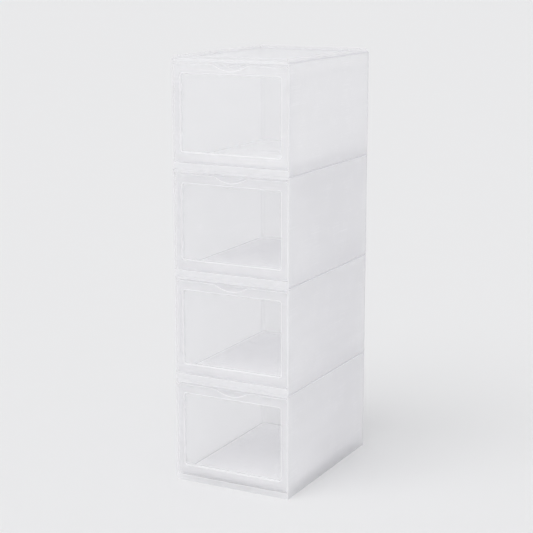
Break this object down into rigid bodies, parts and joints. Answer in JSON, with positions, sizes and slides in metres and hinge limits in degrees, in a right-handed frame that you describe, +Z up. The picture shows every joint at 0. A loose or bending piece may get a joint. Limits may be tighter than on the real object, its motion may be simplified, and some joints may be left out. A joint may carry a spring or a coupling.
{
  "type": "shoe box",
  "caption": "Stacked drawer shoe boxes in frosted plastic: each open-fronted case holds a sliding drawer with a clear window and a finger scoop, and has a rim on its roof.",
  "frame": {"origin": "centre of the tower's footprint, on the floor", "axes": "+Z up, -Y out of the drawers' fronts, +X to the right when the fronts are seen from outside"},
  "size_m": [0.211, 0.305, 0.7142],
  "materials": {
    "frosted": "frosted",
    "clear": "gloss"
  },
  "bodies": {
    "box_1": {"case_1": "frosted"},
    "tray_1": {"drawer_1": "frosted", "window_1": "clear"},
    "box_2": {"case_2": "frosted"},
    "tray_2": {"drawer_2": "frosted", "window_2": "clear"},
    "box_3": {"case_3": "frosted"},
    "tray_3": {"drawer_3": "frosted", "window_3": "clear"},
    "box_4": {"case_4": "frosted"},
    "tray_4": {"drawer_4": "frosted", "window_4": "clear"}
  },
  "joints": [
    {"name": "drawer_1_slide", "type": "slide", "parent": "box_1", "child": "tray_1", "axis": [0, -1, 0], "range_m": [0, 0.22]},
    {"name": "drawer_2_slide", "type": "slide", "parent": "box_2", "child": "tray_2", "axis": [0, -1, 0], "range_m": [0, 0.22]},
    {"name": "drawer_3_slide", "type": "slide", "parent": "box_3", "child": "tray_3", "axis": [0, -1, 0], "range_m": [0, 0.22]},
    {"name": "drawer_4_slide", "type": "slide", "parent": "box_4", "child": "tray_4", "axis": [0, -1, 0], "range_m": [0, 0.22]},
    {"name": "box_2_lift", "type": "slide", "parent": "box_1", "child": "box_2", "axis": [0, 0, 1], "range_m": [0, 0.03]},
    {"name": "box_3_lift", "type": "slide", "parent": "box_2", "child": "box_3", "axis": [0, 0, 1], "range_m": [0, 0.03]},
    {"name": "box_4_lift", "type": "slide", "parent": "box_3", "child": "box_4", "axis": [0, 0, 1], "range_m": [0, 0.03]}
  ]
}
